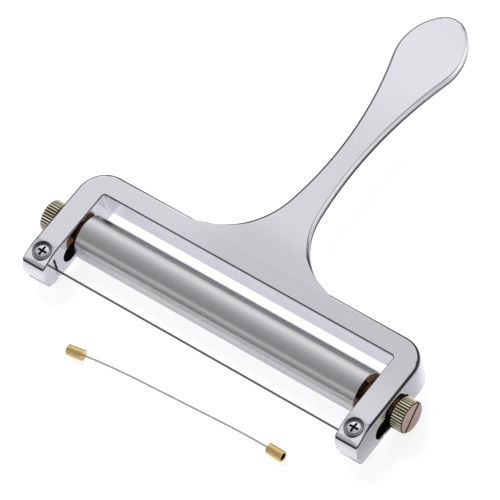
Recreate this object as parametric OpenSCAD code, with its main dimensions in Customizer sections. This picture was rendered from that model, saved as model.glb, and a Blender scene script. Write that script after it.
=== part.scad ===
// Hand cheese slicer: a one-piece cast frame with a waisted paddle handle, a taut cutting wire
// across the tips of its two arms, and a roller whose axle slides in a slot in each arm to set
// the thickness of the slice. A thumbscrew on each end of the axle clamps it where it is set.
// A spare wire with a ferrule on each end lies beside it.
// X runs along the wire, Y towards the handle's tip, and Z up out of the frame's flat top.

/* [Part] */
// which piece to draw

/* [Frame] */
// clear width between the two arms
throat_w = 113.6; // [100:0.2:130]
// thickness of an arm, from its inner wall to its outer wall
arm_t = 8.9; // [8:0.1:11]
// depth of an arm from its top to its underside
arm_h = 12.9; // [12:0.1:14]
// depth of the bar that joins the arms
bar_h = 10; // [8:0.1:11.5]
// width of the bar from its inner wall to its back
bar_w = 7.8; // [6:0.1:9]
// rounding of the frame's two rear corners, seen from above
corner_r = 9.5; // [6:0.1:12]
// rounding of the two inner corners, seen from above
inner_corner_r = 1; // [0.5:0.1:3]
// rounding along the top outer edges
edge_r = 1.3; // [0.6:0.1:1.6]
// rounding along the bottom outer edges
under_r = 2; // [1:0.1:2.4]

/* [Arm nose] */
// distance from the bar's inner wall to the start of the slope towards the nose
slope_start = 22; // [20:0.1:24]
// radius of the slope from the flat top down to the crease
slope_r = 20; // [16:0.5:26]
// distance from the bar's inner wall to the centre of the rounded front
nose_back = 22.8; // [22:0.1:24]
// depth of that centre below the top
nose_drop = 6.8; // [6:0.1:7.2]
// radius of the rounded front
nose_r = 9.6; // [9:0.1:10.4]
// radius that rolls the front under the arm
chin_r = 3; // [2:0.1:3.6]

/* [Handle] */
// thickness of the handle
handle_t = 3.2; // [2.4:0.1:4.5]
// radius of the flare where the handle leaves the bar
flare_r = 27; // [22:0.5:30]
// half the handle's width at its waist
waist_half = 4.3; // [3.5:0.1:6]
// distance from the bar's inner wall to the waist
waist_y = 50; // [44:0.5:56]
// half the width of the paddle
paddle_half = 11.4; // [10:0.1:14]
// distance from the bar's inner wall to the widest place of the paddle
paddle_y = 95; // [88:0.5:105]
// radius of the paddle's sides
paddle_r = 17.3; // [15:0.1:22]
// radius of the paddle's tip
tip_r = 8; // [6:0.1:9]
// how far the middle of the handle dips below the frame's top
bow_dip = 1.7; // [0.6:0.1:4]
// distance from the bar's inner wall to the lowest place of that dip
bow_y = 54; // [48:0.5:58]
// radius of the fillet under the root of the handle
root_fillet_r = 5; // [2:0.1:6]

/* [Slots and roller] */
// distance from the bar's inner wall to the rear end of a slot
slot_rear = 6; // [5:0.1:8]
// distance from the bar's inner wall to the front end of a slot
slot_front = 22.9; // [21:0.1:23.2]
// height of a slot
slot_h = 6.3; // [5:0.1:7]
// depth of a slot's centre line below the top
slot_drop = 7.6; // [7:0.1:8]
// bevel round the mouths of a slot
slot_bevel = 0.4; // [0.1:0.05:0.6]
// distance from the bar's inner wall to the axle as it is set at rest
axle_back = 11.8; // [10:0.1:18]
// outer radius of the roller
roller_r = 7.4; // [6.5:0.1:7.6]
// wall of the roller tube
roller_wall = 0.6; // [0.4:0.05:1.2]
// room between each end of the roller and the arm, when the roller is central
end_room = 2.1; // [1.8:0.1:4]
// distance of the roller's middle from the frame's middle, as it has run to one side
roller_shift = -0.7; // [-1:0.1:1]
// length of a bush in the roller's end
bush_len = 6; // [4:0.5:12]
// depth of a bush below the roller's rim
bush_inset = 2.2; // [0:0.1:5]
// radius of the spacers on the axle between the roller and the arms
spacer_r = 4.4; // [3.6:0.1:6]

/* [Thumbscrews] */
// radius over the knurl
knob_r = 5.5; // [5:0.1:6.5]
// length of a thumbscrew's head
knob_len = 4.2; // [3.6:0.1:8]
// grooves round the knurl
knurl_count = 34; // [20:1:48]
// depth of the knurl's grooves
knurl_depth = 0.42; // [0.2:0.02:0.6]
// bevel at the outer end of the knurl
knob_bevel = 0.5; // [0.2:0.1:1]
// width of the screwdriver slot across the end
driver_w = 1; // [0.6:0.1:1.4]
// depth of the screwdriver slot
driver_depth = 0.9; // [0.5:0.1:1]
// angle of the screwdriver slot at rest
driver_turn = 124; // [0:2:180]
// radius of the washer behind a thumbscrew
washer_r = 4.1; // [3.4:0.1:5]
// thickness of that washer
washer_t = 0.8; // [0.5:0.1:1.5]
// radius of the threaded stud on each end of the axle
stud_r = 2; // [1.5:0.1:2.5]
// length of that stud beyond the washer
stud_reach = 2.4; // [2:0.1:2.4]

/* [Wire and its screws] */
// distance from an arm's inner wall to its wire screw
screw_in = 4.2; // [4:0.1:4.8]
// distance from the bar's inner wall to the wire and its screws
wire_back = 26.5; // [26.2:0.1:27]
// diameter of the cutting wire
wire_d = 0.7; // [0.4:0.05:1]
// radius of the recess round a screw's head
recess_r = 3.3; // [2.8:0.1:3.6]
// depth of the recess floor below the top
recess_drop = 1.9; // [1.6:0.1:2.2]
// thickness of the web under that floor
web_t = 0.7; // [0.5:0.1:1.2]
// radius of a screw's head
head_r = 2.6; // [2:0.1:3]
// height of a screw's head
head_h = 1.4; // [1:0.1:1.6]
// height of the dome on a screw's head
head_dome = 0.5; // [0.2:0.1:0.8]
// radius of a screw's shank
shank_r = 1.2; // [0.8:0.05:1.3]
// length of a screw's shank below its head
shank_len = 5.2; // [3:0.1:5.6]
// width and depth of the cross in a screw's head
cross_w = 0.8; // [0.5:0.1:1]
// outer radius of a ferrule
ferrule_r = 1.8; // [1.6:0.1:2]
// length of a ferrule
ferrule_len = 5.6; // [5:0.1:6]
// width of the slit in an arm's inner wall that lets the wire through
slit_w = 0.9; // [0.8:0.05:1.4]

/* [Clearances] */
// running clearance of the roller's bushes on the axle
run_gap = 0.05; // [0.02:0.01:0.1]
// sliding clearance of the axle in the slots, each side
slide_gap = 0.08; // [0.05:0.01:0.2]
// clearance between the washers and the arms
clamp_gap = 0.2; // [0.1:0.05:0.4]
// clearance of the bushes in the roller tube
seat_gap = 0.02; // [0.01:0.01:0.05]
// clearance between faces that turn past each other
face_gap = 0.25; // [0.1:0.05:0.4]
// clearance round screws, studs and ferrules
thread_gap = 0.06; // [0.02:0.01:0.1]

/* [Spare wire] */
// one millimetre along the spare wire's route
route_unit = 1; // [0.8:0.05:1.2]

/* [Hidden] */
$fn = 96;

// one overrun serves all cuts
overrun = 1;

// where two arcs touch, the outer one runs on a little, so that their joint is clean
run_on = 0.5;

// the frame's outline
inner_x = throat_w / 2;
outer_x = inner_x + arm_t;
nose_reach = nose_back + nose_r;

// the centre of the small radius that rolls the nose under the arm, touching both
chin_z = chin_r - arm_h;
chin_y = -nose_back - sqrt(pow(nose_r - chin_r, 2) - pow(chin_z + nose_drop, 2));
chin_meet_z = -nose_drop + (chin_z + nose_drop) * nose_r / (nose_r - chin_r);

// the arc that the handle's top follows, which leaves the bar's flat top where the bar's
// back edge begins to round
bow_from = bar_w - edge_r;
bow_r = (pow(bow_y - bow_from, 2) + bow_dip * bow_dip) / (2 * bow_dip);

// the handle's sides are arcs that touch one another: flare, waist, paddle and tip
paddle_off = paddle_r - paddle_half;
waist_rise = paddle_y - waist_y;
waist_swell = paddle_half - waist_half;
centre_gap = (waist_swell * waist_swell + waist_rise * waist_rise) / (2 * waist_swell);
waist_r = centre_gap - paddle_r;
waist_x = waist_half + waist_r;
paddle_meet_y = waist_y + waist_rise * waist_r / centre_gap;
flare_y = bow_from + flare_r;
flare_x = waist_x - sqrt(pow(waist_r - flare_r, 2) - pow(waist_y - flare_y, 2));
flare_meet_y = waist_y - (waist_y - flare_y) * waist_r / (waist_r - flare_r);
tip_y = paddle_y + sqrt(pow(paddle_r - tip_r, 2) - paddle_off * paddle_off);
tip_meet_y = paddle_y + (tip_y - paddle_y) * paddle_r / (paddle_r - tip_r);
handle_reach = tip_y + tip_r;

// the axle and what is clamped on it
axle_r = slot_h / 2 - slide_gap;
axle_half = outer_x - clamp_gap / 2;
washer_x = outer_x + clamp_gap;
knob_x = washer_x + washer_t + run_gap;
stud_end = knob_x + stud_reach;
knob_end = knob_x + knob_len;
groove_side = knurl_depth * sqrt(2);

// the roller has run a little to one side, and a spacer fills the room at each end
roller_len = throat_w - 2 * end_room;
roller_left = roller_shift - roller_len / 2;
roller_right = roller_shift + roller_len / 2;
spacer_end = inner_x - face_gap;
bush_r = roller_r - roller_wall - seat_gap;

// the wire, its ferrules and its screws
screw_x = inner_x + screw_in;
head_z = run_gap - recess_drop;
head_dome_r = (head_r * head_r + head_dome * head_dome) / (2 * head_dome);
bore_top = -recess_drop - web_t;
ferrule_top = bore_top - thread_gap;
ferrule_end = ferrule_top - ferrule_len;
wire_r = wire_d / 2;
wire_z = ferrule_end - wire_r - thread_gap;
shank_hole = shank_len - (head_z - ferrule_top) + thread_gap;

// the roller rests on the ground, under the origin, which is at the middle of the length
lift = roller_r + slot_drop;
middle_y = (handle_reach - nose_reach) / 2;

// the spare wire lies in front of the arms: its way across, and how far it is from the bar
SPARE_ROUTE = [
    [-34, 45.1], [-32, 44.8], [-30, 44.55], [-28, 44.3], [-26, 44.1], [-24, 43.9],
    [-22, 43.7], [-20, 43.55], [-18, 43.4], [-16, 43.25], [-14, 43.1], [-12, 43],
    [-10, 42.9], [-8, 42.8], [-6, 42.7], [-4, 42.6], [-2, 42.5], [0, 42.4],
    [2, 42.3], [4, 42.2], [6, 42.1], [8, 42], [10, 41.9], [12, 41.8],
    [14, 41.7], [16, 41.6], [18, 41.5], [20, 41.4], [22, 41.3], [24, 41.25],
    [26, 41.2], [28, 41.15], [30, 41.1], [32, 41.1], [34, 41.1], [36, 41.1], [38, 41.15]
];
spare_path = [for (p = SPARE_ROUTE) [p[0] * route_unit, -p[1] * route_unit, ferrule_r - lift]];
last_point = len(spare_path) - 1;
WIRE_SIDES = 8;

// how far a wire reaches into its ferrule
wire_grip = ferrule_len / 5;

// Everything is drawn from the bar's inner wall and the frame's top, then set on the ground.
module place() translate([0, -middle_y, lift]) children();

module on_side(side) mirror([side == "left" ? 1 : 0, 0, 0]) children();

module both_sides() for (side = ["left", "right"]) on_side(side) children();

module both_edges() for (flip = [0, 1]) mirror([flip, 0]) children();

// The sliver outside a rounded corner that lies at the origin, with the solid towards +X +Y.
module corner_sliver(r) difference() {
    translate([-overrun, -overrun]) square(r + overrun);
    translate([r, r]) circle(r);
}

// Draws a profile, whose x is Y and whose y is Z, along X about the middle.
module along_x(length) rotate([90, 0, 90]) linear_extrude(height = length, center = true)
    children();

// A rod along X.
module rod_x(from, to, r) translate([from, 0, 0]) rotate([0, 90, 0])
    cylinder(h = to - from, r = r);

// Frame

// The section of the frame's outer edge, rounded over at the top and underneath. Its x counts
// inwards from the outside.
module edge_section(width) difference() {
    translate([0, -arm_h]) square([width, arm_h]);
    mirror([0, 1]) corner_sliver(edge_r);
    translate([0, -arm_h]) corner_sliver(under_r);
}

// The block that the U is cut from: the section runs along the back, round both rear corners
// and along both sides.
module frame_block() {
    along_x(2 * (outer_x - corner_r)) translate([bar_w, 0]) mirror([1, 0])
        edge_section(bar_w + nose_reach);
    both_sides() translate([outer_x - corner_r, bar_w - corner_r, 0]) {
        rotate_extrude(angle = 90) translate([corner_r, 0]) mirror([1, 0])
            edge_section(corner_r);
        translate([corner_r, 0, 0]) rotate([90, 0, 0])
            linear_extrude(height = nose_reach + bar_w - corner_r) mirror([1, 0])
                edge_section(corner_r);
    }
}

// The frame from the side has a sloping nose and a round chin.
module frame_side() intersection() {
    translate([-nose_reach, -arm_h]) square([nose_reach + bar_w, arm_h]);
    union() {
        translate([-nose_back, -nose_drop]) circle(nose_r);
        translate([-nose_back, -arm_h]) square([nose_back + bar_w, arm_h]);
    }
    union() {
        translate([-slope_start, -slope_r]) circle(slope_r);
        translate([-slope_start, -arm_h]) square([slope_start + bar_w, arm_h]);
    }
    union() {
        translate([chin_y, chin_z]) circle(chin_r);
        translate([chin_y, -arm_h]) square([bar_w - chin_y, arm_h]);
        translate([-nose_reach, chin_meet_z - run_on])
            square([nose_reach, run_on - chin_meet_z]);
    }
}

// The room between the arms, with its two inner corners rounded.
module throat() translate([0, 0, -arm_h - overrun]) linear_extrude(height = arm_h + 2 * overrun)
    difference() {
        translate([-inner_x, -nose_reach - overrun]) square([throat_w, nose_reach + overrun]);
        both_edges() translate([-inner_x, 0]) mirror([0, 1]) corner_sliver(inner_corner_r);
    }

// The bar is shallower than the arms, and sweeps down to them at its ends.
module bar_relief() translate([0, bar_w + overrun, 0]) rotate([90, 0, 0])
    linear_extrude(height = bar_w + overrun + inner_corner_r) difference() {
        translate([-inner_x, -arm_h - overrun]) square([throat_w, arm_h - bar_h + overrun]);
        both_edges() translate([-inner_x, -bar_h]) mirror([0, 1])
            corner_sliver(arm_h - bar_h);
    }

// The U is the block with the arms' side outline, less the throat and the room under the bar.
module frame_u() difference() {
    intersection() {
        frame_block();
        along_x(2 * (outer_x + overrun)) frame_side();
    }
    throat();
    bar_relief();
}

// The handle from above is drawn by arcs that touch, from the bar to the tip.
module handle_plan() {
    difference() {
        translate([-flare_x, bow_from])
            square([2 * flare_x, flare_meet_y + run_on - bow_from]);
        both_edges() translate([flare_x, flare_y]) circle(flare_r);
    }
    difference() {
        translate([-paddle_r, flare_meet_y - run_on])
            square([2 * paddle_r, paddle_meet_y - flare_meet_y + 2 * run_on]);
        both_edges() translate([waist_x, waist_y]) circle(waist_r, $fn = 4 * $fn);
    }
    intersection() {
        translate([-paddle_off, paddle_y]) circle(paddle_r);
        translate([paddle_off, paddle_y]) circle(paddle_r);
        union() {
            translate([-paddle_r, paddle_meet_y - run_on])
                square([2 * paddle_r, tip_meet_y - paddle_meet_y + 2 * run_on]);
            translate([0, tip_y]) circle(tip_r);
        }
    }
}

// The outline as a tall block, for what follows it.
module handle_block() translate([0, 0, -arm_h]) linear_extrude(height = 2 * arm_h)
    handle_plan();

// The handle is a plate of even thickness, bent to a long shallow bow.
module handle() {
    intersection() {
        handle_block();
        translate([0, bow_y, bow_r - bow_dip]) difference() {
            rod_x(-flare_x, flare_x, bow_r + handle_t, $fn = 8 * $fn);
            rod_x(-flare_x - overrun, flare_x + overrun, bow_r, $fn = 8 * $fn);
        }
    }
    intersection() {
        handle_block();
        along_x(2 * flare_x) difference() {
            translate([bow_from, -handle_t - root_fillet_r])
                square([edge_r + root_fillet_r, root_fillet_r + handle_t / 2]);
            translate([bar_w + root_fillet_r, -handle_t - root_fillet_r]) circle(root_fillet_r);
        }
    }
}

// A slot has round ends, and a bevel round its outer mouth.
module slot() {
    slot_r = slot_h / 2;
    slot_run = slot_front - slot_rear - slot_h;
    mouth = slot_bevel + overrun;
    translate([0, -slot_rear - slot_r, -slot_drop]) {
        for (step = [0, -slot_run]) translate([0, step, 0]) {
            rod_x(inner_x - overrun, outer_x + overrun, slot_r);
            translate([outer_x - slot_bevel, 0, 0]) rotate([0, 90, 0])
                cylinder(h = mouth, r1 = slot_r, r2 = slot_r + mouth);
        }
        translate([inner_x - overrun, -slot_run, -slot_r])
            cube([arm_t + 2 * overrun, slot_run, slot_h]);
        rotate([90, 0, 0]) linear_extrude(height = slot_run) polygon([
            [outer_x - slot_bevel, -slot_r], [outer_x + overrun, -slot_r - mouth],
            [outer_x + overrun, slot_r + mouth], [outer_x - slot_bevel, slot_r]
        ]);
    }
}

// Under each wire screw is a recess, a web, a bore for the ferrule and a slit for the wire.
module wire_seat() translate([screw_x, -wire_back, 0]) {
    translate([0, 0, -recess_drop]) cylinder(h = recess_drop + overrun, r = recess_r);
    translate([0, 0, -arm_h]) cylinder(h = arm_h, r = shank_r + 2 * thread_gap);
    translate([0, 0, -arm_h - overrun])
        cylinder(h = arm_h + bore_top + overrun, r = ferrule_r + thread_gap);
    translate([inner_x - screw_x - overrun, -slit_w / 2, -arm_h - overrun])
        cube([screw_x - inner_x + overrun, slit_w, arm_h + bore_top + overrun]);
}

module frame() color([0.86, 0.86, 0.88]) place() difference() {
    union() {
        frame_u();
        handle();
    }
    both_sides() slot();
    both_sides() wire_seat();
}

// Wire, ferrules and screws

// The wire runs through both slits, turns up inside the arms and ends in the ferrules.
module cutting_wire() color([0.55, 0.55, 0.57]) place() translate([0, -wire_back, wire_z]) {
    rod_x(-screw_x, screw_x, wire_r);
    both_sides() translate([screw_x, 0, 0]) {
        sphere(wire_r, $fn = 24);
        cylinder(h = wire_grip, r = wire_r);
    }
}

// A ferrule points down: the screw's thread goes in from the top and the wire from below.
module ferrule() difference() {
    translate([0, 0, -ferrule_len]) cylinder(h = ferrule_len, r = ferrule_r);
    translate([0, 0, -shank_hole]) cylinder(h = shank_hole + overrun, r = shank_r + thread_gap);
    translate([0, 0, -ferrule_len - overrun])
        cylinder(h = ferrule_len, r = wire_r + thread_gap, $fn = 24);
}

module wire_ferrule(side) color([0.83, 0.65, 0.32]) place() on_side(side)
    translate([screw_x, -wire_back, ferrule_top]) ferrule();

module wire_ferrule_left() wire_ferrule("left");

module wire_ferrule_right() wire_ferrule("right");

// A wire screw has a low domed head with a cross.
module wire_screw(side) color([0.8, 0.8, 0.82]) place() on_side(side)
    translate([screw_x, -wire_back, head_z]) difference() {
        union() {
            intersection() {
                cylinder(h = head_h, r = head_r);
                translate([0, 0, head_h - head_dome_r]) sphere(head_dome_r);
            }
            translate([0, 0, -shank_len]) cylinder(h = shank_len + head_h / 2, r = shank_r);
        }
        for (turn = [0, 90]) rotate([0, 0, turn])
            translate([-head_r * 2 / 3, -cross_w / 2, head_h - cross_w])
                cube([head_r * 4 / 3, cross_w, cross_w + overrun]);
    }

module wire_screw_left() wire_screw("left");

module wire_screw_right() wire_screw("right");

// Axle and roller

module at_axle() place() translate([0, -axle_back, -slot_drop]) children();

// The axle fills the slots, with a threaded stud for the thumbscrew on each end.
module axle() color([0.78, 0.66, 0.42]) at_axle() {
    rod_x(-axle_half, axle_half, axle_r);
    rod_x(-stud_end, stud_end, stud_r);
}

// A ring along X.
module ring_x(from, to, r, hole) difference() {
    rod_x(from, to, r);
    rod_x(from - overrun, to + overrun, hole);
}

module axle_spacer_left() color([0.83, 0.65, 0.32]) at_axle()
    ring_x(-spacer_end, roller_left - face_gap, spacer_r, axle_r + thread_gap);

module axle_spacer_right() color([0.83, 0.65, 0.32]) at_axle()
    ring_x(roller_right + face_gap, spacer_end, spacer_r, axle_r + thread_gap);

module roller_tube() color([0.74, 0.74, 0.75]) at_axle()
    ring_x(roller_left, roller_right, roller_r, roller_r - roller_wall);

module roller_bush_left() color([0.83, 0.65, 0.32]) at_axle()
    ring_x(roller_left + bush_inset, roller_left + bush_inset + bush_len, bush_r,
        axle_r + run_gap);

module roller_bush_right() color([0.83, 0.65, 0.32]) at_axle()
    ring_x(roller_right - bush_inset - bush_len, roller_right - bush_inset, bush_r,
        axle_r + run_gap);

// Thumbscrews and washers

module clamp_washer(side) color([0.45, 0.42, 0.38]) at_axle() on_side(side)
    ring_x(washer_x, washer_x + washer_t, washer_r, stud_r + thread_gap);

module clamp_washer_left() clamp_washer("left");

module clamp_washer_right() clamp_washer("right");

// The knurl is straight grooves cut round a disc.
module knurl_plan() difference() {
    circle(knob_r);
    for (i = [0 : knurl_count - 1]) rotate(i * 360 / knurl_count) translate([knob_r, 0])
        rotate(45) square(groove_side, center = true);
}

// A thumbscrew is a knurled head with a blind thread and a screwdriver slot.
module thumbscrew(side) color([0.91, 0.84, 0.62]) at_axle() on_side(side) difference() {
    intersection() {
        translate([knob_x, 0, 0]) rotate([90, 0, 90]) linear_extrude(height = knob_len)
            knurl_plan();
        union() {
            rod_x(knob_x, knob_end - knob_bevel, knob_r + overrun);
            translate([knob_end - knob_bevel, 0, 0]) rotate([0, 90, 0])
                cylinder(h = knob_bevel, r1 = knob_r, r2 = knob_r - knob_bevel);
        }
    }
    rod_x(knob_x - overrun, stud_end + face_gap, stud_r + thread_gap);
    translate([knob_end - driver_depth, 0, 0]) rotate([driver_turn, 0, 0])
        translate([0, -driver_w / 2, -knob_r - overrun])
            cube([driver_depth + overrun, driver_w, 2 * (knob_r + overrun)]);
}

module thumbscrew_left() thumbscrew("left");

module thumbscrew_right() thumbscrew("right");

// Spare wire

function unit(v) = v / norm(v);

// The way the route runs at each point, and a level vector square to it.
function run_at(i) = unit(spare_path[min(i + 1, last_point)] - spare_path[max(i - 1, 0)]);

function across_at(i) = unit(cross([0, 0, 1], run_at(i)));

function ring_at(i) = [for (k = [0 : WIRE_SIDES - 1])
    let (turn = 360 * (k + 1 / 2) / WIRE_SIDES)
    spare_path[i] + wire_r * (cos(turn) * across_at(i) + [0, 0, sin(turn)])];

// The spare wire is a tube swept along its route.
module spare_wire() color([0.62, 0.62, 0.64]) place() {
    points = [for (i = [0 : last_point]) each ring_at(i)];
    sides = [for (i = [0 : last_point - 1], k = [0 : WIRE_SIDES - 1])
        let (a = i * WIRE_SIDES + k, b = i * WIRE_SIDES + (k + 1) % WIRE_SIDES)
        [a, a + WIRE_SIDES, b + WIRE_SIDES, b]];
    near_end = [for (k = [0 : WIRE_SIDES - 1]) k];
    far_end = [for (k = [WIRE_SIDES - 1 : -1 : 0]) last_point * WIRE_SIDES + k];
    polyhedron(points, concat(sides, [near_end, far_end]), convexity = 4);
}

// A spare ferrule lies along the end of the route, with the wire's end inside it.
module spare_ferrule(at, way) color([0.83, 0.65, 0.32]) place() translate(at)
    rotate([0, 0, atan2(way[1], way[0])]) rotate([0, 90, 0]) ferrule_on_wire();

module ferrule_on_wire() translate([0, 0, ferrule_len]) ferrule();

module spare_ferrule_left() spare_ferrule(spare_path[0] + run_at(0) * wire_grip, -run_at(0));

module spare_ferrule_right()
    spare_ferrule(spare_path[last_point] - run_at(last_point) * wire_grip, run_at(last_point));

frame();
cutting_wire();
wire_ferrule_left();
wire_ferrule_right();
wire_screw_left();
wire_screw_right();
axle();
axle_spacer_left();
axle_spacer_right();
roller_tube();
roller_bush_left();
roller_bush_right();
clamp_washer_left();
clamp_washer_right();
thumbscrew_left();
thumbscrew_right();
spare_wire();
spare_ferrule_left();
spare_ferrule_right();
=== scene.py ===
# Looks of the hand cheese slicer: a polished die-cast frame with a paddle handle, a satin roller
# on a sliding axle, knurled brass thumbscrews, a taut cutting wire and a spare wire beside it.
import math

import bmesh
import bpy
from mathutils import Matrix, Vector


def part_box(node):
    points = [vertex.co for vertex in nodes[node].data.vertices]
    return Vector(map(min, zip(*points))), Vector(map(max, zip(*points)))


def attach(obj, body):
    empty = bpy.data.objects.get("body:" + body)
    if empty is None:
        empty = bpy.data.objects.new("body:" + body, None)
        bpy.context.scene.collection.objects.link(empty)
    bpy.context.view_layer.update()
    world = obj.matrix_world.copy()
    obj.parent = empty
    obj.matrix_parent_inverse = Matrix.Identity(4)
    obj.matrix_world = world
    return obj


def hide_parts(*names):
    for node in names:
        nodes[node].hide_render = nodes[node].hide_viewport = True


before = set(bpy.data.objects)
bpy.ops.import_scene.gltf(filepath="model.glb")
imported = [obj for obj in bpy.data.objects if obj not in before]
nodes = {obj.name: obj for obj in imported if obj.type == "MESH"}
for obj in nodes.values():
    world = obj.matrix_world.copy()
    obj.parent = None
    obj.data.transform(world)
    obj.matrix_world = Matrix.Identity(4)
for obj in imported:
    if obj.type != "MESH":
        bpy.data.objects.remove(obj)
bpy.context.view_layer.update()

# Camera: the slicer is seen from high up and to the right of its nose, with a long lens, so
# that its wire runs down to the right and its handle up to the right. It is turned a little
# about its own line of sight, and its aim is measured from the bar's inner top edge.
AROUND, ABOVE, TILT = math.radians(51.47), math.radians(55.99), math.radians(-17.06)
SENSOR, LENS = 36, 463.6
CAMERA_AWAY, CLIP_AWAY = 1.9799, 20
AIM_RIGHT, AIM_UP = 0.00088, 0.00738
NOSE_REACH, SLOT_DROP = 0.0324, 0.0076

frame_low, frame_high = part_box("frame")
roller_low, roller_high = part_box("roller_tube")
bar_inner = frame_low.y + NOSE_REACH
slot_z = (roller_low.z + roller_high.z) / 2
frame_top = slot_z + SLOT_DROP
datum = Vector((0, bar_inner, frame_top))
sight = Vector((math.sin(AROUND) * math.cos(ABOVE), -math.cos(AROUND) * math.cos(ABOVE),
                math.sin(ABOVE)))
level = Vector((math.cos(AROUND), math.sin(AROUND), 0))
upright = sight.cross(level)
camera_right = level * math.cos(TILT) + upright * math.sin(TILT)
camera_up = sight.cross(camera_right)
camera = bpy.data.objects.new("camera", bpy.data.cameras.new("camera"))
bpy.context.scene.collection.objects.link(camera)
camera.data.sensor_width = SENSOR
camera.data.lens = LENS
camera.data.clip_end = CLIP_AWAY
camera.matrix_world = Matrix.Translation(
    datum + sight * CAMERA_AWAY + camera_right * AIM_RIGHT + camera_up * AIM_UP
) @ Matrix((camera_right, camera_up, sight)).transposed().to_4x4()
bpy.context.scene.camera = camera

# Spare wire: a length of thin bright steel wire, as bought with its ferrules crimped on, that
# lies on the table in front of the slicer's arms. It keeps the slight bow of its packing. Its
# route is in millimetres, to the right of the middle and forward of the bar's inner wall.
SPARE_ROUTE = [
    (-34, 45.1), (-32, 44.8), (-30, 44.55), (-28, 44.3), (-26, 44.1), (-24, 43.9),
    (-22, 43.7), (-20, 43.55), (-18, 43.4), (-16, 43.25), (-14, 43.1), (-12, 43),
    (-10, 42.9), (-8, 42.8), (-6, 42.7), (-4, 42.6), (-2, 42.5), (0, 42.4),
    (2, 42.3), (4, 42.2), (6, 42.1), (8, 42), (10, 41.9), (12, 41.8),
    (14, 41.7), (16, 41.6), (18, 41.5), (20, 41.4), (22, 41.3), (24, 41.25),
    (26, 41.2), (28, 41.15), (30, 41.1), (32, 41.1), (34, 41.1), (36, 41.1), (38, 41.15),
]
MM = 0.001
WIRE_D = 0.0007
FERRULE_R = 0.0018
STRAND_SIDES = 4
SPARE_DIM, SPARE_BRIGHT = (0.54, 0.54, 0.55), (0.78, 0.78, 0.80)
WIRE_GRAIN, WIRE_ROUGH, WIRE_VARY = (400, 3000, 3000), 0.22, 0.12


class Val:
    """A shader socket that can be used in sums; a sum adds its Math nodes."""

    def __init__(self, tree, socket):
        self.tree, self.socket = tree, socket

    def add(self, kind, settings=None, **inputs):
        """A new node of any type: its settings first, then the values or links of its inputs."""
        node = self.tree.nodes.new(kind)
        for name, value in (settings or {}).items():
            if name == "stops":
                ramp = node.color_ramp
                while len(ramp.elements) < len(value):
                    ramp.elements.new(0.5)
                for stop, (place, colour) in zip(ramp.elements, value):
                    stop.position, stop.color = place, (*colour, 1)
            else:
                setattr(node, name, value)
        for name, value in inputs.items():
            socket = node.inputs[int(name[1:])] if name[1:].isdigit() else node.inputs[
                name.replace("_", " ")]
            if isinstance(value, Val):
                self.tree.links.new(value.socket, socket)
            else:
                socket.default_value = value
        return node

    def out(self, node, name=0):
        return Val(self.tree, node.outputs[name])

    def math(self, operation, *values, clamp=False):
        named = {f"i{k}": v for k, v in enumerate(values)}
        return self.out(self.add("ShaderNodeMath", {"operation": operation, "use_clamp": clamp},
                                 **named))

    def __add__(self, other): return self.math("ADD", self, other)
    def __radd__(self, other): return self.math("ADD", other, self)
    def __sub__(self, other): return self.math("SUBTRACT", self, other)
    def __rsub__(self, other): return self.math("SUBTRACT", other, self)
    def __mul__(self, other): return self.math("MULTIPLY", self, other)
    def __rmul__(self, other): return self.math("MULTIPLY", other, self)
    def __truediv__(self, other): return self.math("DIVIDE", self, other)
    def root(self): return self.math("SQRT", self)
    def size(self): return self.math("ABSOLUTE", self)


def new_material(name, metallic=1.0):
    """A material with one Principled shader, and a Val on the object's own coordinates."""
    material = bpy.data.materials.new(name)
    material.use_nodes = True
    tree = material.node_tree
    shader = tree.nodes["Principled BSDF"]
    shader.inputs["Metallic"].default_value = metallic
    place = Val(tree, tree.nodes.new("ShaderNodeTexCoord").outputs["Object"])
    return material, shader, place


def link(value, shader, name):
    """Feeds a value to one of the shader's sockets."""
    value.tree.links.new(value.socket, shader.inputs[name])


def noise(place, scale, detail=2.0):
    """A cloudy value between 0 and 1."""
    return place.out(place.add("ShaderNodeTexNoise", Vector=place, Scale=scale, Detail=detail))


def stretched(place, x, y, z):
    """Coordinates scaled differently along each axis, for a grain that runs one way."""
    return place.out(place.add("ShaderNodeMapping", Vector=place, Scale=(x, y, z)))


def mixed(factor, first, second):
    """A colour between two others."""
    node = factor.add("ShaderNodeMix", {"data_type": "RGBA"})
    factor.tree.links.new(factor.socket, node.inputs[0])
    for socket, colour in ((node.inputs[6], first), (node.inputs[7], second)):
        if isinstance(colour, Val):
            factor.tree.links.new(colour.socket, socket)
        else:
            socket.default_value = (*colour, 1)
    return Val(factor.tree, node.outputs[2])


def dress(obj, material):
    """Gives an object one material in place of any that it has."""
    obj.data.materials.clear()
    obj.data.materials.append(material)


def wire_material(name, dim, bright):
    """Drawn steel wire with a fine grain along it."""
    material, shader, place = new_material(name)
    grain = noise(stretched(place, *WIRE_GRAIN), 1.0)
    link(mixed(grain, dim, bright), shader, "Base Color")
    link(grain * WIRE_VARY + WIRE_ROUGH, shader, "Roughness")
    return material


route = [Vector((x * MM, bar_inner - y * MM, FERRULE_R)) for x, y in SPARE_ROUTE]
strand = bpy.data.curves.new("spare_strand", "CURVE")
strand.dimensions = "3D"
spline = strand.splines.new("POLY")
spline.points.add(len(route) - 1)
for point, spot in zip(spline.points, route):
    point.co = (*spot, 1)
strand.bevel_depth = WIRE_D / 2
strand.bevel_resolution = STRAND_SIDES
strand.use_fill_caps = True
spare_strand = bpy.data.objects.new("spare_strand", strand)
bpy.context.scene.collection.objects.link(spare_strand)
dress(spare_strand, wire_material("bright drawn wire", SPARE_DIM, SPARE_BRIGHT))
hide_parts("spare_wire")
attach(spare_strand, "spare")

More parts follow.
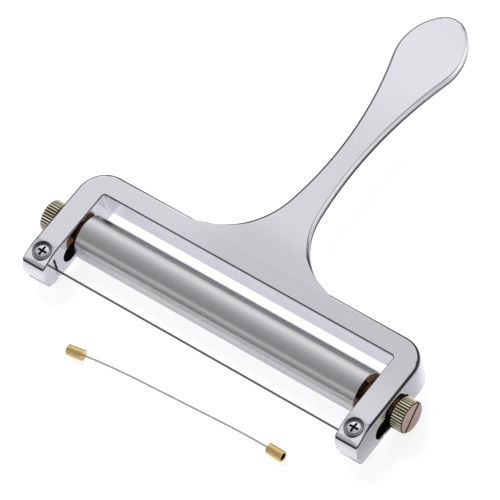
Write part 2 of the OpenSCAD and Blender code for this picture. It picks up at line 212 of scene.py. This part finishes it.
# Frame: one zinc casting, ground, polished and chrome plated. Its edges are softly broken by
# the polishing, more along the handle's rims than round the slots and recesses, and not at all
# where the flare's outline runs into the bar.
RIM_ROUND, EDGE_ROUND, MOUTH_ROUND = 0.0011, 0.0005, 0.00015
BAR_W, ARM_T, FLARE_HALF, RELIEF_TOP = 0.0078, 0.0089, 0.0283, 0.0045
SLOT_REAR, SLOT_FRONT, SLOT_HALF, MOUTH_HALF = 0.006, 0.0229, 0.00315, 0.0038
SCREW_IN, WIRE_BACK, RECESS_R = 0.0042, 0.0265, 0.0033
SLIT_HALF, SLIT_DROP = 0.0006, 0.002
# How far round an opening its edges reach, and how exactly a surface is told by its place.
BESIDE, CLOSE = 0.001, 0.0001
# Where the flare leaves the bar, the stretch there without rounding, and the one it grows over.
FLARE_IN, FLARE_DROP, ROOT, TAPER = 0.001, 0.0004, 0.0015, 0.006
DOUBLES, COPY_FLAT, JOIN, CASTING_FLAT = 2e-6, math.radians(0.3), 0.00003, math.radians(0.5)
# The turns of an edge that is rounded on the handle, on the frame and on small pieces, and the
# turn up to which faces are shaded as one.
SHARP, BLUNT, CRISP, SMOOTH = (math.radians(angle) for angle in (50, 22, 35, 35))
RIM_STEPS, MOUTH_STEPS = 6, 2

bar_back = bar_inner + BAR_W
arm_outer = frame_high.x
arm_inner = arm_outer - ARM_T
slot_front, slot_rear = bar_inner - SLOT_FRONT, bar_inner - SLOT_REAR
screw_x, screw_y = arm_inner + SCREW_IN, bar_inner - WIRE_BACK
flare_root = Vector((FLARE_HALF, bar_back - FLARE_IN, frame_top - FLARE_DROP))


def deselect_all():
    """Leaves edit mode and drops whatever is selected."""
    if bpy.context.object and bpy.context.object.mode != "OBJECT":
        bpy.ops.object.mode_set(mode="OBJECT")
    bpy.ops.object.select_all(action="DESELECT")


def merge_flat(gap, angle):
    """Joins what lies close together and drops the edges between nearly flat faces."""
    bpy.ops.object.mode_set(mode="EDIT")
    bpy.ops.mesh.select_all(action="SELECT")
    bpy.ops.mesh.remove_doubles(threshold=gap)
    bpy.ops.mesh.dissolve_limited(angle_limit=angle)


def copy_of(node, name):
    """A merged copy of a CAD node, selected and active, to finish by hand."""
    deselect_all()
    piece = bpy.data.objects.new(name, nodes[node].data.copy())
    bpy.context.scene.collection.objects.link(piece)
    piece.select_set(True)
    bpy.context.view_layer.objects.active = piece
    merge_flat(DOUBLES, COPY_FLAT)
    bpy.ops.object.mode_set(mode="OBJECT")
    return piece


def round_edges(piece, wanted, width, segments):
    """Rounds the edges for which wanted(middle, angle) holds, and stays in edit mode."""
    bpy.ops.object.mode_set(mode="EDIT")
    bpy.ops.mesh.select_mode(type="EDGE")
    bpy.ops.mesh.select_all(action="DESELECT")
    shape = bmesh.from_edit_mesh(piece.data)
    for edge in shape.edges:
        if len(edge.link_faces) == 2:
            middle = (edge.verts[0].co + edge.verts[1].co) / 2
            edge.select_set(wanted(middle, edge.calc_face_angle(0)))
    bmesh.update_edit_mesh(piece.data)
    bpy.ops.mesh.bevel(offset=width, segments=segments, profile=0.5, affect="EDGES",
                       clamp_overlap=True)


def finish_normals(piece):
    """Smooth shading up to an angle, weighted by face area, so that flat faces stay flat."""
    bpy.ops.object.mode_set(mode="OBJECT")
    bpy.ops.object.shade_smooth_by_angle(angle=SMOOTH)
    piece.modifiers.new("flat faces", "WEIGHTED_NORMAL").keep_sharp = True
    bpy.ops.object.modifier_apply(modifier="flat faces")


def held(value):
    """A number kept between 0 and 1."""
    return max(0, min(1, value))


def near_opening(at):
    """Whether a place is at a slot's mouth, at a screw's recess or at the wire's slit."""
    in_slot = (slot_front - BESIDE < at.y < slot_rear + BESIDE
               and abs(at.z - slot_z) < MOUTH_HALF)
    off_screw = math.hypot(abs(at.x) - screw_x, at.y - screw_y)
    in_slit = abs(at.y - screw_y) < SLIT_HALF and at.z < frame_top - SLIT_DROP
    return in_slot or off_screw < RECESS_R + CLOSE or in_slit


def under_bar(at):
    """Whether a place is at the relief hollowed out under the bar."""
    return (at.z < RELIEF_TOP and abs(at.x) < arm_inner + BESIDE
            and at.y > bar_inner - BESIDE)


def from_root(at):
    """How far a place is from where the flare's outline leaves the bar."""
    return (Vector((abs(at.x), at.y, at.z)) - flare_root).length


casting = copy_of("frame", "casting")
merge_flat(JOIN, CASTING_FLAT)
shape = bmesh.from_edit_mesh(casting.data)
share = shape.edges.layers.float.new("bevel_weight_edge")
for edge in shape.edges:
    at, turn = (edge.verts[0].co + edge.verts[1].co) / 2, edge.calc_face_angle(0)
    if at.y > bar_back + ROOT / 2:
        wanted, full = turn > SHARP, 1
        off_root = at.y - bar_back - ROOT / 2
    else:
        wanted = turn > BLUNT and not near_opening(at) and not under_bar(at)
        full = EDGE_ROUND / RIM_ROUND
        off_root = from_root(at) - ROOT
    edge[share] = full * held(off_root / TAPER) if wanted else 0
bmesh.update_edit_mesh(casting.data)
bpy.ops.object.mode_set(mode="OBJECT")
rounding = casting.modifiers.new("edges", "BEVEL")
rounding.limit_method, rounding.width, rounding.segments = "WEIGHT", RIM_ROUND, RIM_STEPS
rounding.use_clamp_overlap = False
bpy.ops.object.modifier_apply(modifier="edges")
round_edges(casting, lambda at, turn: turn > SHARP and at.y < bar_back + ROOT
            and (near_opening(at) or under_bar(at)), MOUTH_ROUND, MOUTH_STEPS)
finish_normals(casting)

# Painted reflection: a polished edge would mirror the dark end of a room as a thin line, and that
# line is painted on in a dark colour. It is kept as a value on the mesh's points, by how far a
# rounded edge has turned from the top. The frame's edges have one painted line. The handle's
# wider rims have one high up on the room's dark side, and on the other side one low down and a
# fainter one above it.
# Each line: the turn, as a normal's height, where it starts, is full, is last full and ends.
FRAME_LINE = (0.97, 0.90, 0.66, 0.50)
DARK_RIM, LIGHT_RIM = (0.995, 0.965, 0.45, 0.30), (0.25, 0.05, -0.90, -0.98)
UPPER_RIM, UPPER_SHARE = (0.99, 0.972, 0.945, 0.88), 0.6
DARK_SIDE, DARK_TURN, NEAR_TURN, FLAT_LEAST = Vector((-0.78, 0.62, 0)), 1.5, 2, 0.01
NOSE_TIP, SLOT_END = 0.0019, 0.002


def band(rise, start, full, last, end):
    """How dark a line is that fades in from start to full and out from last to end."""
    return held(min((start - rise) / (start - full), (rise - end) / (last - end)))


line = casting.data.attributes.new("edge_line", "FLOAT", "POINT")
for point, value in zip(casting.data.vertices, line.data):
    at, normal = point.co, point.normal
    rise = normal.z
    if frame_low.y + NOSE_TIP < at.y < slot_front + SLOT_END:
        rise = math.sqrt(1 - normal.x ** 2) if rise > 0 else 0
    if at.y > bar_back + ROOT / 2:
        dark = held(normal.dot(DARK_SIDE) * DARK_TURN + 0.5)
        near = held(-NEAR_TURN * normal.y / max(FLAT_LEAST, math.hypot(*normal.xy)))
        value.value = dark * band(rise, *DARK_RIM) + (1 - dark) * max(
            band(rise, *LIGHT_RIM), UPPER_SHARE * near * band(rise, *UPPER_RIM))
    elif from_root(at) > ROOT and not near_opening(at):
        value.value = band(rise, *FRAME_LINE)

# The outside is polished and plated. Inside the slots and the screws' recesses the plating is
# thin over the casting's skin, which stays dull, and painted shade darkens it there. The dark
# painted reflection along the crease on each nose, the painted highlight that glows on the slope
# above it, the painted shade on the bar's right half and the paddle's painted glow are laid by
# place, because they come from a room that is richer than the one below.
PLATE = (0.84, 0.84, 0.87), (0.88, 0.88, 0.90)
DULL_SKIN_IN_SHADE = (0.03, 0.03, 0.03), (0.16, 0.15, 0.14)
PAINTED_LINE_COLOUR, LINE_GAIN, LINE_SHARE = (0.02, 0.02, 0.025), 2.0, 0.97
SHADED, SLOPE_PAINTED_HIGHLIGHT = (0.72, 0.72, 0.74), (0.34, 0.34, 0.35)
NO_GLOW, PADDLE_PAINTED_GLOW = (0, 0, 0), (0.16, 0.16, 0.165)
# Depths and drops between which each dark, dull or glowing part fades in.
WALL_IN, WALL_FULL = 0.0002, 0.0007
SKIN_NEAR, SKIN_AWAY = 0.0002, 0.0003
RECESS_TOP, RECESS_LIP, RECESS_SKIN = 0.0008, 0.0003, 0.75
CREASE_DROP, CREASE_BAND, CREASE_SHARE = 0.00265, 0.0004, 0.7
CREASE_FRONT, CREASE_BACK, SLOPE_FRONT = 0.001, 0.0015, 0.0025
SHADE_START, SHADE_FULL, SHADE_DEEP, SHADE_TOP = -0.035, -0.005, 0.0015, 0.0005
SHADE_BACK, SHADE_BACK_FULL, SHADE_FRONT, SHADE_FRONT_FULL = 0.026, 0.010, 0.020, 0.002
PADDLE_START, PADDLE_FULL = 0.015, 0.055
HAZE_SCALE, HAZE_DETAIL, SKIN_SCALE = 60, 3, 900
PLATE_ROUGH, HAZE_VARY, SKIN_VARY = 0.05, 0.04, 0.3
WAVE_SCALE, WAVE_DETAIL, WAVE_HEIGHT, WAVE_SHARE = 25, 1, 0.0002, 0.08


def step(value, low, high):
    """0 below low, 1 above high, and a smooth rise between; the other way round if low > high."""
    return value.out(value.add("ShaderNodeMapRange", {"interpolation_type": "SMOOTHSTEP"},
                               Value=value, From_Min=min(low, high), From_Max=max(low, high),
                               To_Min=float(low > high), To_Max=float(low < high)))


def axes_of(place):
    """The three coordinates of a place."""
    parts = place.add("ShaderNodeSeparateXYZ", Vector=place)
    return [place.out(parts, name) for name in "XYZ"]


def distance(across, along):
    """How far a place is from an axis, from its distances along the two others."""
    return (across * across + along * along).root()


def bump(height, shader, depth, strength):
    """A shallow relief that only the shading shows."""
    node = height.add("ShaderNodeBump", Height=height, Distance=depth, Strength=strength)
    height.tree.links.new(node.outputs[0], shader.inputs["Normal"])


chrome, shader, place = new_material("polished chrome plate")
across, along, up = axes_of(place)
side_x = across.size()
in_arm = step(side_x, arm_inner + WALL_IN, arm_inner + WALL_FULL) * step(
    side_x, arm_outer - WALL_IN, arm_outer - WALL_FULL)
in_slot = in_arm * step(
    (up - slot_z).size(), SLOT_HALF + SKIN_NEAR, SLOT_HALF + CLOSE) * step(
    along, slot_front - SKIN_AWAY, slot_front - SKIN_NEAR) * step(
    along, slot_rear + SKIN_AWAY, slot_rear + SKIN_NEAR)
in_recess = step(
    distance(side_x - screw_x, along - screw_y), RECESS_R + CLOSE, RECESS_R - CLOSE) * step(
    up, frame_top - RECESS_LIP, frame_top - RECESS_TOP)
# Inside the slots and the screws' recesses: a dull, rougher skin, with painted shade darkening
# its colour.
skin_and_shade = in_slot.math("MAXIMUM", in_slot, in_recess * RECESS_SKIN)
# Painted reflection: a dark line along the crease on each nose.
crease_z, crease_core = frame_top - CREASE_DROP, CREASE_BAND * CREASE_SHARE
crease = in_arm * step(along, screw_y - CREASE_FRONT, screw_y - CREASE_BACK) * step(
    up, crease_z - CREASE_BAND, crease_z - crease_core) * step(
    up, crease_z + CREASE_BAND, crease_z + crease_core)
# Painted highlight: the slope above the crease glows.
slope = in_arm * step(along, screw_y + CREASE_FRONT, screw_y - SLOPE_FRONT) * step(
    up, crease_z + crease_core, crease_z + 2 * crease_core) * (1 - in_recess)
# Painted shade: the top of the bar's right half is darker.
shade = step(across, SHADE_START, SHADE_FULL) * step(
    along, bar_inner + SHADE_BACK, bar_inner + SHADE_BACK_FULL) * step(
    along, bar_inner - SHADE_FRONT, bar_inner - SHADE_FRONT_FULL) * step(
    up, frame_top - SHADE_DEEP, frame_top - SHADE_TOP)
haze = noise(place, HAZE_SCALE, HAZE_DETAIL)
plate = mixed(shade, mixed(haze, *PLATE), SHADED)
# Painted reflection: dark lines along the rounded edges and at each nose's crease, laid into the
# colour.
edge_line = place.out(place.add("ShaderNodeAttribute", {"attribute_name": "edge_line"}), "Fac")
edge_line = edge_line.math("MULTIPLY", edge_line, LINE_GAIN, clamp=True)
plate = mixed(edge_line.math("MAXIMUM", edge_line, crease) * LINE_SHARE, plate, PAINTED_LINE_COLOUR)
link(mixed(skin_and_shade, plate, mixed(noise(place, SKIN_SCALE), *DULL_SKIN_IN_SHADE)), shader, "Base Color")
link(haze * HAZE_VARY + skin_and_shade * SKIN_VARY + PLATE_ROUGH, shader, "Roughness")
shader.inputs["Emission Strength"].default_value = 1
# Painted highlight: the paddle glows more towards its end.
paddle = mixed(step(along, PADDLE_START, PADDLE_FULL), NO_GLOW, PADDLE_PAINTED_GLOW)
link(mixed(slope, paddle, SLOPE_PAINTED_HIGHLIGHT), shader, "Emission Color")
bump(noise(place, WAVE_SCALE, WAVE_DETAIL), shader, WAVE_HEIGHT, WAVE_SHARE)
dress(casting, chrome)
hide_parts("frame")
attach(casting, "casting")

# Cutting wire: the same drawn steel wire as the spare, pulled taut between the ferrules that the
# two wire screws hold in the arms. Its colour is darker than the spare's, as a painted dark
# reflection.
WIRE_DIM, WIRE_BRIGHT = (0.14, 0.14, 0.145), (0.26, 0.26, 0.27)

dress(nodes["cutting_wire"], wire_material("drawn steel wire", WIRE_DIM, WIRE_BRIGHT))

# Ferrules: short turned brass sleeves, crimped on the wires' ends. Those of the cutting wire
# are tapped for the wire screws.
BRASS = (0.80, 0.56, 0.22), (0.90, 0.68, 0.32)
BRASS_GRAIN, BRASS_ROUGH, BRASS_VARY = (2500, 200, 200), 0.2, 0.15

brass, shader, place = new_material("turned brass")
ring = noise(stretched(place, *BRASS_GRAIN), 1.0)
link(mixed(ring, *BRASS), shader, "Base Color")
link(ring * BRASS_VARY + BRASS_ROUGH, shader, "Roughness")
for node in ("wire_ferrule_left", "wire_ferrule_right", "spare_ferrule_left",
             "spare_ferrule_right"):
    dress(nodes[node], brass)

# Bushes and spacers: sintered bronze rings, brown with oil. The bushes are pressed into the
# tube's ends, and the spacers run loose on the axle beside them.
BRONZE = (0.06, 0.02, 0.01), (0.42, 0.19, 0.09)
SPECKLE_SCALE, SPECKLE_DETAIL, BRONZE_ROUGH, BRONZE_VARY = 1800, 3, 0.28, 0.2

bronze, shader, place = new_material("oiled bronze")
speckle = noise(place, SPECKLE_SCALE, SPECKLE_DETAIL)
link(mixed(speckle, *BRONZE), shader, "Base Color")
link(speckle * BRONZE_VARY + BRONZE_ROUGH, shader, "Roughness")
for side in ("left", "right"):
    dress(nodes[f"roller_bush_{side}"], bronze)
    dress(nodes[f"axle_spacer_{side}"], bronze)

# Wire screws: small plated machine screws with a low domed head, its rim turned round and a
# cross punched into it. The bottom of the cross is painted dark as shade, and a ring of
# painted shade runs where the head's dome meets its rim.
SCREW_RIM, RIM_HEIGHT, HEAD_DROP, CROSS_HALF = 0.0002, 0.0005, 0.00185, 0.00175
CROSS_FLOOR, CROSS_DARK, CROSS_PALE, CROSS_TOP = 0.0003, 0.0005, 0.0009, 0.00115
RING_IN, RING_OUT = (0.00205, 0.0022), (0.0025, 0.00235)
PLATED, RING_PAINTED_SHADE = ((0.66, 0.66, 0.68), (0.82, 0.82, 0.84)), (0.10, 0.10, 0.11)
CROSS_PAINTED_SHADE = (0.02, 0.02, 0.02)
TONE_SCALE, GLOSS_SCALE, PLATED_ROUGH, PLATED_VARY = 900, 700, 0.1, 0.1

head_base = frame_top - HEAD_DROP
plated, shader, place = new_material("bright plated screw")
across, along, up = axes_of(place)
screw_away = distance(across.size() - screw_x, along - screw_y)
# Painted shade at the bottom of the cross.
in_cross = step(screw_away, CROSS_HALF + CLOSE, CROSS_HALF) * step(
    up, head_base + CROSS_TOP, head_base + CROSS_PALE) * step(
    up, head_base + CROSS_FLOOR, head_base + CROSS_DARK)
# Painted shade: a dark ring where the dome meets the rim.
ring = step(screw_away, *RING_IN) * step(screw_away, *RING_OUT)
bright = mixed(ring, mixed(noise(place, TONE_SCALE), *PLATED), RING_PAINTED_SHADE)
link(mixed(in_cross, bright, CROSS_PAINTED_SHADE), shader, "Base Color")
link(noise(place, GLOSS_SCALE) * PLATED_VARY + PLATED_ROUGH, shader, "Roughness")
for side in ("left", "right"):
    screw = copy_of(f"wire_screw_{side}", f"cross_screw_{side}")
    round_edges(screw, lambda at, turn: turn > CRISP
                and at.z > head_base + RIM_HEIGHT, SCREW_RIM, MOUTH_STEPS)
    finish_normals(screw)
    dress(screw, plated)
    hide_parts(f"wire_screw_{side}")
    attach(screw, f"screw_{side}")

# Roller: a thin steel tube, turned and satin finished round its girth, with its rims rolled
# over a little.
RIM_TURN, TURN_STEPS, SQUARE = 0.00025, 3, math.radians(60)
SATIN = (0.61, 0.61, 0.62), (0.69, 0.69, 0.70)
TURNED_GRAIN, TURNED_DETAIL, SATIN_ROUGH, SATIN_VARY = (6000, 60, 60), 4, 0.22, 0.06

satin, shader, place = new_material("satin steel tube")
turning = noise(stretched(place, *TURNED_GRAIN), 1.0, TURNED_DETAIL)
link(mixed(turning, *SATIN), shader, "Base Color")
link(turning * SATIN_VARY + SATIN_ROUGH, shader, "Roughness")
tube = copy_of("roller_tube", "tube")
round_edges(tube, lambda at, turn: turn > SQUARE, RIM_TURN, TURN_STEPS)
finish_normals(tube)
dress(tube, satin)
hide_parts("roller_tube")
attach(tube, "roller")

# Axle: a plain steel rod with a threaded end each side, turned and oiled, which sits dark in
# the slots.
ROD = (0.20, 0.19, 0.18), (0.34, 0.32, 0.29)
ROD_GRAIN, OIL_SCALE, ROD_ROUGH, OIL_VARY = (4000, 200, 200), 500, 0.3, 0.15

rod, shader, place = new_material("oiled steel rod")
link(mixed(noise(stretched(place, *ROD_GRAIN), 1.0), *ROD), shader, "Base Color")
link(noise(place, OIL_SCALE) * OIL_VARY + ROD_ROUGH, shader, "Roughness")
dress(nodes["axle"], rod)

# Washers: plain steel rings, punched from sheet, that the thumbscrews press against the arms.
# Their dark brown is painted shade, the shade of the gap between each knob and its arm.
WASHER_PAINTED_SHADE = (0.05, 0.025, 0.015), (0.36, 0.17, 0.10)
WASHER_TONE_SCALE, WASHER_TONE_DETAIL, WORN_SCALE = 1500, 4, 900
WASHER_ROUGH, WASHER_VARY = 0.32, 0.15

dull, shader, place = new_material("washer in painted shade")
# Painted shade: the washers' dark brown colour.
link(mixed(noise(place, WASHER_TONE_SCALE, WASHER_TONE_DETAIL), *WASHER_PAINTED_SHADE), shader, "Base Color")
link(noise(place, WORN_SCALE) * WASHER_VARY + WASHER_ROUGH, shader, "Roughness")
for side in ("left", "right"):
    dress(nodes[f"clamp_washer_{side}"], dull)

# Thumbscrews: turned from pale brass bar, straight knurled, with a screwdriver slot sawn across
# the face. The knurl's grooves and the slot are darkened with painted shade and are rougher, and
# the sawn face is pinker.
AXLE_BACK, KNOB_R, GROOVE, CREST = 0.0118, 0.0055, 0.00042, 0.00005
FACE_DEEP, FACE_SKIN, SLOT_CENTRE, GROOVE_SHADE_SHARE, CREST_SHARE = 0.00012, 0.00004, 0.0004, 0.7, 0.6
KNURL = (0.93, 0.84, 0.56), (0.99, 0.95, 0.76)
FACE = (0.76, 0.56, 0.47), (0.92, 0.72, 0.62)
GROOVE_SHADE_COLOUR = (0.035, 0.028, 0.02)
SAWN_GRAIN, KNURL_SCALE, TOUCH_SCALE = (100, 1500, 300), 500, 700
PALE_ROUGH, TOUCH_VARY, GROOVE_ROUGH_VARY, FACE_VARY = 0.17, 0.1, 0.3, 0.15

knob_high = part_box("thumbscrew_right")[1]
axle_y = bar_inner - AXLE_BACK
pale, shader, place = new_material("knurled pale brass")
across, along, up = axes_of(place)
knob_away = distance(along - axle_y, up - slot_z)
in_face = step(across.size(), knob_high.x - FACE_DEEP, knob_high.x - FACE_SKIN)
# Painted shade: the knurl's grooves and the slot are darkened; they are rougher there too.
shaded_grooves = step(knob_away, KNOB_R - CLOSE, KNOB_R - GROOVE * GROOVE_SHADE_SHARE) * (1 - in_face) * step(
    knob_away, 0.0, SLOT_CENTRE)
face = mixed(noise(stretched(place, *SAWN_GRAIN), 1.0), *FACE)
metal = mixed(in_face, mixed(noise(place, KNURL_SCALE), *KNURL), face)
link(mixed(shaded_grooves, metal, GROOVE_SHADE_COLOUR), shader, "Base Color")
link(noise(place, TOUCH_SCALE) * TOUCH_VARY + shaded_grooves * GROOVE_ROUGH_VARY + in_face * FACE_VARY + PALE_ROUGH,
     shader, "Roughness")
for side in ("left", "right"):
    knob = copy_of(f"thumbscrew_{side}", f"knurled_knob_{side}")
    round_edges(knob, lambda at, turn: turn > CRISP and math.hypot(
        at.y - axle_y, at.z - slot_z) > KNOB_R - GROOVE * CREST_SHARE, CREST, MOUTH_STEPS)
    finish_normals(knob)
    dress(knob, pale)
    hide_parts(f"thumbscrew_{side}")
    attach(knob, f"knob_{side}")

# Table, light and surroundings: a white table, one broad soft lamp above the left rear that
# throws the shadow, and a room that polished metal reflects: bright behind the slicer, darker
# overhead and in front, with a strip of light low in front and a black band at the horizon.
TABLE_SIZE, TABLE_DROP = 0.8, 0.0001
TABLE = (0.85, 0.85, 0.87), (0.87, 0.87, 0.88)
TABLE_SCALE, TABLE_ROUGH = 40, 0.9
TABLE_SEEN, TABLE_MIRRORED = (0.69, 0.69, 0.695), (0.42, 0.42, 0.455)
DIM_RIGHT, RIGHT_SHARE = (0.064, 0.074), 0.7
DIM_FRONT, FRONT_SHARE = (-0.078, -0.094), 0.35
LAMP_SIZE, LAMP_AWAY, LAMP_POWER, LAMP_AT = 0.8, 1.6, 9, (-0.7, 0.5, 1.0)
HORIZON, BAND_START, BAND_END = (0.01, 0.01, 0.012), 0.03, 0.16
WHITE, FILL = (1, 1, 1, 1), 0.3
ROOM_STOPS = [
    (0.00, (0.45, 0.45, 0.45)), (0.03, (0.40, 0.40, 0.40)), (0.05, (0.80, 0.80, 0.80)),
    (0.075, (0.80, 0.80, 0.80)), (0.095, (0.34, 0.34, 0.35)), (0.165, (0.34, 0.34, 0.35)),
    (0.31, (0.40, 0.40, 0.41)), (0.47, (0.48, 0.48, 0.50)), (0.62, (0.62, 0.62, 0.65)),
    (0.69, (0.75, 0.75, 0.78)), (0.75, (0.78, 0.78, 0.81)), (0.81, (1.0, 1.0, 1.01)),
    (0.90, (1.05, 1.05, 1.05)), (0.955, (1.05, 1.05, 1.05)), (0.98, (0.6, 0.6, 0.61)),
    (1.0, (0.45, 0.45, 0.46)),
]

deselect_all()
bpy.ops.mesh.primitive_plane_add(size=TABLE_SIZE, location=(0, 0, -TABLE_DROP))
table = bpy.context.object
table.name = "table"
white, shader, place = new_material("white table", metallic=0.0)
shader.inputs["Roughness"].default_value = TABLE_ROUGH
shader.inputs["Specular IOR Level"].default_value = 0
link(mixed(noise(place, TABLE_SCALE), *TABLE), shader, "Base Color")
rays = place.add("ShaderNodeLightPath")
seen, mirrored = place.out(rays, "Is Camera Ray"), place.out(rays, "Is Glossy Ray")
shader.inputs["Emission Strength"].default_value = 1
across, along, up = axes_of(place)
# Painted light and shade: in reflections the table glows, less to the right and in front.
painted_light_share = (1 - step(across, *DIM_RIGHT) * RIGHT_SHARE) * (1 - step(along, *DIM_FRONT) * FRONT_SHARE)
glow = mixed(mirrored * painted_light_share, NO_GLOW, TABLE_MIRRORED)
link(mixed(seen, glow, TABLE_SEEN), shader, "Emission Color")
dress(table, white)

world = bpy.data.worlds.new("studio")
bpy.context.scene.world = world
world.use_nodes = True
tree = world.node_tree
tree.nodes.clear()
sky = Val(tree, tree.nodes.new("ShaderNodeTexCoord").outputs["Generated"])
across, back, high = axes_of(sky)
around = back / distance(back, high) * 0.5 + 0.5
room_light = sky.out(sky.add("ShaderNodeValToRGB", {"stops": ROOM_STOPS}, Fac=around))
room_colour = mixed(step(high, BAND_START, BAND_END), HORIZON, room_light)
rays = sky.add("ShaderNodeLightPath")
plain = sky.add("ShaderNodeBackground", Color=WHITE, Strength=FILL)
room = sky.add("ShaderNodeBackground", Color=room_colour, Strength=1.0)
clear = sky.add("ShaderNodeBackground", Color=WHITE, Strength=1.0)
first = sky.add("ShaderNodeMixShader", i0=sky.out(rays, "Is Glossy Ray"), i1=sky.out(plain),
                i2=sky.out(room))
second = sky.add("ShaderNodeMixShader", i0=sky.out(rays, "Is Camera Ray"), i1=sky.out(first),
                 i2=sky.out(clear))
sky.add("ShaderNodeOutputWorld", Surface=sky.out(second))

light = bpy.data.lights.new("broad", "AREA")
light.size, light.energy = LAMP_SIZE, LAMP_POWER
broad = bpy.data.objects.new("broad", light)
bpy.context.scene.collection.objects.link(broad)
towards_lamp = Vector(LAMP_AT).normalized()
broad.location = datum + towards_lamp * LAMP_AWAY
broad.rotation_euler = towards_lamp.to_track_quat("Z", "Y").to_euler()
broad.visible_glossy = False

bpy.context.scene.view_settings.view_transform = "Standard"
